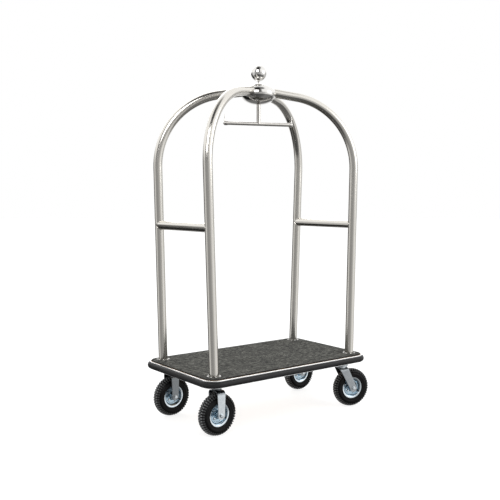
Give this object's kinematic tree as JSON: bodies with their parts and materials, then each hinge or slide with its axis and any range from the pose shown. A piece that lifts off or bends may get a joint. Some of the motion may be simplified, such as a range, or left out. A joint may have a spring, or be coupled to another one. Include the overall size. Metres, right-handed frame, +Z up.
{
  "type": "hotel luggage cart",
  "caption": "Birdcage luggage cart: carpeted deck with bumper, bent tube posts meeting in a hub, swivelling garment rail, rigid and swivel pneumatic casters.",
  "frame": {"origin": "centre of the deck's carpeted top face, on the line of the hub; the floor is 309 mm below it", "axes": "+Z up, +X along the deck towards the swivel casters, -Y towards the front"},
  "size_m": [1.1459, 0.651, 1.902],
  "materials": {
    "carpet": "cut pile, charcoal fleck",
    "plywood": "plywood",
    "frame_alloy": "mill",
    "trim": "bright",
    "bumper_rubber": "satin",
    "tube_steel": "fine brushed",
    "flange_steel": "satin black",
    "screw_steel": "bright",
    "polished_steel": "mirror polished",
    "rail_steel": "polished",
    "core_steel": "machined",
    "bronze": "sintered",
    "zinc_steel": "bright zinc plate",
    "rim_steel": "zinc plate, bright",
    "tyre_rubber": "matte"
  },
  "bodies": {
    "root": {"carpet": "carpet", "deck_board": "plywood", "deck_frame": "frame_alloy", "bumper_track": "trim", "bumper": "bumper_rubber", "flange_screws": "screw_steel", "crossbar_left": "tube_steel", "crossbar_right": "tube_steel", "hub_lower_shell": "polished_steel", "hub_upper_shell": "polished_steel", "hub_core": "core_steel", "finial_stem": "polished_steel", "finial_ball": "polished_steel", "rail_bush": "bronze", "caster_bolts": "zinc_steel", "rigid_fork_front": "zinc_steel", "rigid_fork_rear": "zinc_steel", "post_front_left": "tube_steel", "flange_front_left": "flange_steel", "axle_front_left": "zinc_steel", "post_rear_left": "tube_steel", "flange_rear_left": "flange_steel", "axle_rear_left": "zinc_steel", "post_front_right": "tube_steel", "flange_front_right": "flange_steel", "post_rear_right": "tube_steel", "flange_rear_right": "flange_steel", "swivel_plate_front": "zinc_steel", "kingpin_front": "zinc_steel", "swivel_plate_rear": "zinc_steel", "kingpin_rear": "zinc_steel"},
    "rail": {"drop_rod": "rail_steel", "garment_rail": "rail_steel", "rail_end_left": "rail_steel", "rail_end_right": "rail_steel"},
    "swivel_front": {"swivel_bearing_front": "zinc_steel", "swivel_fork_front": "zinc_steel", "axle_front_right": "zinc_steel"},
    "swivel_rear": {"swivel_bearing_rear": "zinc_steel", "swivel_fork_rear": "zinc_steel", "axle_rear_right": "zinc_steel"},
    "wheel_front_left": {"wheel_hub_front_left": "core_steel", "rim_near_front_left": "rim_steel", "rim_far_front_left": "rim_steel", "tyre_front_left": "tyre_rubber"},
    "wheel_rear_left": {"wheel_hub_rear_left": "core_steel", "rim_near_rear_left": "rim_steel", "rim_far_rear_left": "rim_steel", "tyre_rear_left": "tyre_rubber"},
    "wheel_front_right": {"wheel_hub_front_right": "core_steel", "rim_near_front_right": "rim_steel", "rim_far_front_right": "rim_steel", "tyre_front_right": "tyre_rubber"},
    "wheel_rear_right": {"wheel_hub_rear_right": "core_steel", "rim_near_rear_right": "rim_steel", "rim_far_rear_right": "rim_steel", "tyre_rear_right": "tyre_rubber"}
  },
  "joints": [
    {"name": "rail_swivel", "type": "hinge", "parent": "root", "child": "rail", "pos_m": [0, 0, 1.2775], "axis": [0, 0, 1], "continuous": true},
    {"name": "swivel_front_turn", "type": "hinge", "parent": "root", "child": "swivel_front", "pos_m": [0.4295, -0.2175, -0.078], "axis": [0, 0, 1], "continuous": true},
    {"name": "swivel_rear_turn", "type": "hinge", "parent": "root", "child": "swivel_rear", "pos_m": [0.4295, 0.2175, -0.078], "axis": [0, 0, 1], "continuous": true},
    {"name": "wheel_front_left_spin", "type": "hinge", "parent": "root", "child": "wheel_front_left", "pos_m": [-0.4295, -0.2175, -0.201], "axis": [0, 1, 0], "continuous": true},
    {"name": "wheel_rear_left_spin", "type": "hinge", "parent": "root", "child": "wheel_rear_left", "pos_m": [-0.4295, 0.2175, -0.201], "axis": [0, 1, 0], "continuous": true},
    {"name": "wheel_front_right_spin", "type": "hinge", "parent": "swivel_front", "child": "wheel_front_right", "pos_m": [0.48656, -0.23604, -0.201], "axis": [0.309, 0.9511, 0], "continuous": true},
    {"name": "wheel_rear_right_spin", "type": "hinge", "parent": "swivel_rear", "child": "wheel_rear_right", "pos_m": [0.48946, 0.21541, -0.201], "axis": [0.0349, 0.9994, 0], "continuous": true}
  ]
}
